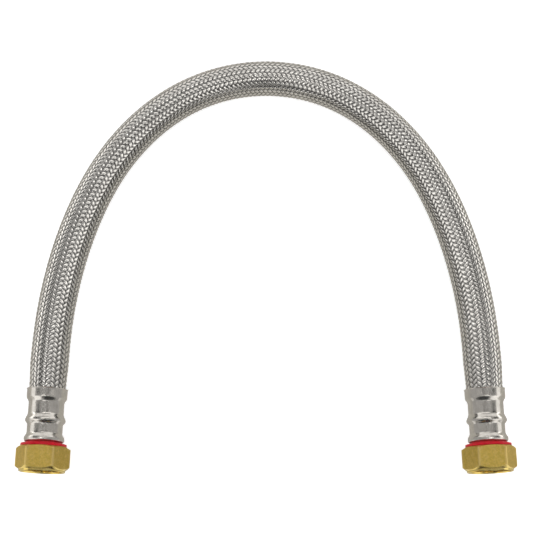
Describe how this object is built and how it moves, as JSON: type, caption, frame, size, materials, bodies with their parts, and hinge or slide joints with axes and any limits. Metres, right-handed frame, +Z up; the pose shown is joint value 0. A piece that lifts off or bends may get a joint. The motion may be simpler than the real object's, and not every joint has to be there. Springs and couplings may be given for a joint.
{
  "type": "braided water supply line",
  "caption": "Flexible hose in a braided stainless steel sleeve, bent into an arch, with a crimped ferrule, a red insulating ring and a hexagonal brass swivel nut on each end.",
  "frame": {"origin": "on the floor, midway between the two end fittings", "axes": "+X from the left fitting to the right one, +Y from the nuts towards the top of the arch, +Z up from the floor"},
  "size_m": [0.2996, 0.26, 0.0286],
  "materials": {
    "tube_rubber": "matt black rubber",
    "braid_steel": "bright drawn stainless wire",
    "tail_brass": "turned brass",
    "ferrule_steel": "smooth polished stainless steel",
    "washer_rubber": "matt black rubber",
    "ring_plastic": "glossy red plastic",
    "nut_brass": "satin forged brass with turned ends"
  },
  "bodies": {
    "hose": {"inner_tube": "tube_rubber", "braid_sleeve": "braid_steel", "tail_left": "tail_brass", "ferrule_left": "ferrule_steel", "washer_left": "washer_rubber", "tail_right": "tail_brass", "ferrule_right": "ferrule_steel", "washer_right": "washer_rubber"},
    "ring_left": {"insulator_ring_left": "ring_plastic"},
    "nut_left": {"swivel_nut_left": "nut_brass"},
    "ring_right": {"insulator_ring_right": "ring_plastic"},
    "nut_right": {"swivel_nut_right": "nut_brass"}
  },
  "joints": [
    {"name": "nut_left_slide", "type": "slide", "parent": "hose", "child": "ring_left", "axis": [-0.0394, -0.9992, 0], "range_m": [0, 0.0019]},
    {"name": "nut_left_spin", "type": "hinge", "parent": "ring_left", "child": "nut_left", "pos_m": [-0.13316, -0.01747, 0.0143], "axis": [-0.0394, -0.9992, 0], "continuous": true},
    {"name": "nut_right_slide", "type": "slide", "parent": "hose", "child": "ring_right", "axis": [0.0394, -0.9992, 0], "range_m": [0, 0.0019]},
    {"name": "nut_right_spin", "type": "hinge", "parent": "ring_right", "child": "nut_right", "pos_m": [0.13316, -0.01747, 0.0143], "axis": [0.0394, -0.9992, 0], "continuous": true}
  ]
}
